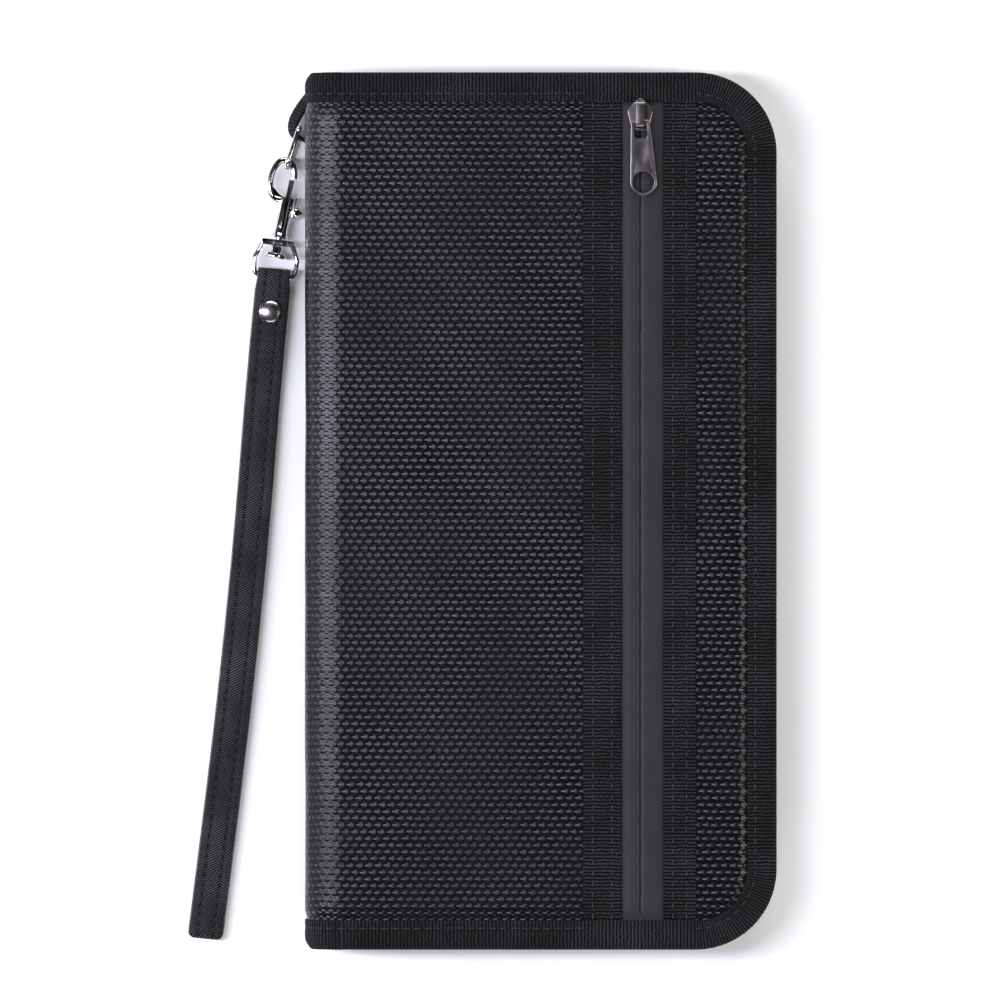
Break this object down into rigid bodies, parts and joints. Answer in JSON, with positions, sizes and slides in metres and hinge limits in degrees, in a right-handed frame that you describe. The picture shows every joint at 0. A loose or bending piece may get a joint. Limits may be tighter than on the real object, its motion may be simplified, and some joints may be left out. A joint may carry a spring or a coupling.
{
  "type": "travel document wallet",
  "caption": "Flat zip-round travel wallet with a fabric cover, a zip pocket in the front and a wrist strap on a bolt snap hook.",
  "frame": {"origin": "centre of the back cover's outer face, on which the wallet lies", "axes": "+X from the spine towards the side that opens, +Y towards the top edge, +Z out of the front cover"},
  "size_m": [0.1738, 0.26, 0.0259],
  "materials": {
    "coated_fabric": "coated plain weave",
    "grosgrain": "ribbed polyester tape",
    "coated_tape": "matt polyurethane film",
    "zip_coil": "matt",
    "zip_metal": "gunmetal, satin",
    "hardware": "polished nickel",
    "strap_leather": "cross-hatched grain",
    "lining": "plain nylon",
    "pocket_mesh": "coated nylon",
    "foam": "closed-cell foam",
    "board": "stiffener board",
    "spring_steel": "drawn wire"
  },
  "bodies": {
    "back_half": {"back_fabric": "coated_fabric", "back_padding": "foam", "back_board": "board", "back_lining": "lining", "back_binding": "grosgrain", "closing_tape_back": "grosgrain", "closing_coil_back": "zip_coil", "zip_tail": "grosgrain", "zip_end_tab": "grosgrain", "document_pocket": "pocket_mesh", "passport_pocket_lower": "pocket_mesh", "passport_pocket_upper": "pocket_mesh", "strap_loop": "grosgrain"},
    "front_half": {"front_fabric_main": "coated_fabric", "front_fabric_side": "coated_fabric", "front_padding": "foam", "pocket_bag": "lining", "front_board": "board", "front_lining": "lining", "front_binding": "grosgrain", "pocket_tape_left": "coated_tape", "pocket_tape_right": "coated_tape", "pocket_coil": "zip_coil", "pocket_facing_left": "grosgrain", "pocket_facing_right": "grosgrain", "closing_tape_front": "grosgrain", "closing_coil_front": "zip_coil", "slip_pocket": "pocket_mesh", "card_slot_1": "pocket_mesh", "card_slot_2": "pocket_mesh", "card_slot_3": "pocket_mesh", "card_slot_4": "pocket_mesh"},
    "pocket_slider": {"pocket_slider_body": "zip_metal"},
    "pocket_pull": {"pocket_puller": "zip_metal"},
    "closing_slider": {"closing_slider_body": "zip_metal"},
    "closing_pull": {"closing_puller": "zip_metal"},
    "ring": {"d_ring": "hardware"},
    "hook": {"hook_body": "hardware", "bolt_spring": "spring_steel"},
    "bolt": {"hook_bolt": "hardware"},
    "eye": {"swivel_stud": "hardware", "swivel_eye": "hardware"},
    "strap": {"wrist_strap": "strap_leather", "strap_rivet_cap": "hardware", "strap_rivet_back": "hardware"}
  },
  "joints": [
    {"name": "cover_hinge", "type": "hinge", "parent": "back_half", "child": "front_half", "pos_m": [-0.06678, 0, 0.01878], "axis": [0, -1, 0], "range_deg": [0, 180]},
    {"name": "pocket_zip_slide", "type": "slide", "parent": "front_half", "child": "pocket_slider", "axis": [0, -1, 0], "range_m": [0, 0.232]},
    {"name": "pocket_puller_pivot", "type": "hinge", "parent": "pocket_slider", "child": "pocket_pull", "pos_m": [0.0295, 0.1152, 0.0242], "axis": [-0.9984, -0.0558, 0], "range_deg": [0, 145]},
    {"name": "closing_zip_slide", "type": "slide", "parent": "back_half", "child": "closing_slider", "axis": [1, 0, 0], "range_m": [0, 0.0945]},
    {"name": "closing_puller_pivot", "type": "hinge", "parent": "closing_slider", "child": "closing_pull", "pos_m": [-0.0515, -0.1247, 0.01045], "axis": [0, 0, -1], "range_deg": [0, 130]},
    {"name": "d_ring_swing", "type": "hinge", "parent": "back_half", "child": "ring", "pos_m": [-0.0716, 0.114, 0.0058], "axis": [0, 0, -1], "range_deg": [0, 110]},
    {"name": "hook_swing", "type": "hinge", "parent": "ring", "child": "hook", "pos_m": [-0.07546, 0.10232, 0.0058], "axis": [0, 0, -1], "range_deg": [-3, 60]},
    {"name": "bolt_slide", "type": "slide", "parent": "hook", "child": "bolt", "axis": [-0.2164, -0.9763, 0], "range_m": [0, 0.0029], "stiffness_N_per_m": 300, "springref_m": -0.002, "deforming": ["bolt_spring"]},
    {"name": "hook_swivel", "type": "hinge", "parent": "hook", "child": "eye", "pos_m": [-0.0778, 0.0814, 0.0035], "axis": [0.2164, 0.9763, 0], "continuous": true},
    {"name": "strap_lift", "type": "hinge", "parent": "eye", "child": "strap", "pos_m": [-0.07938, 0.06986, 0.0035], "axis": [-0.9923, 0.1236, 0], "range_deg": [0, 135]}
  ]
}
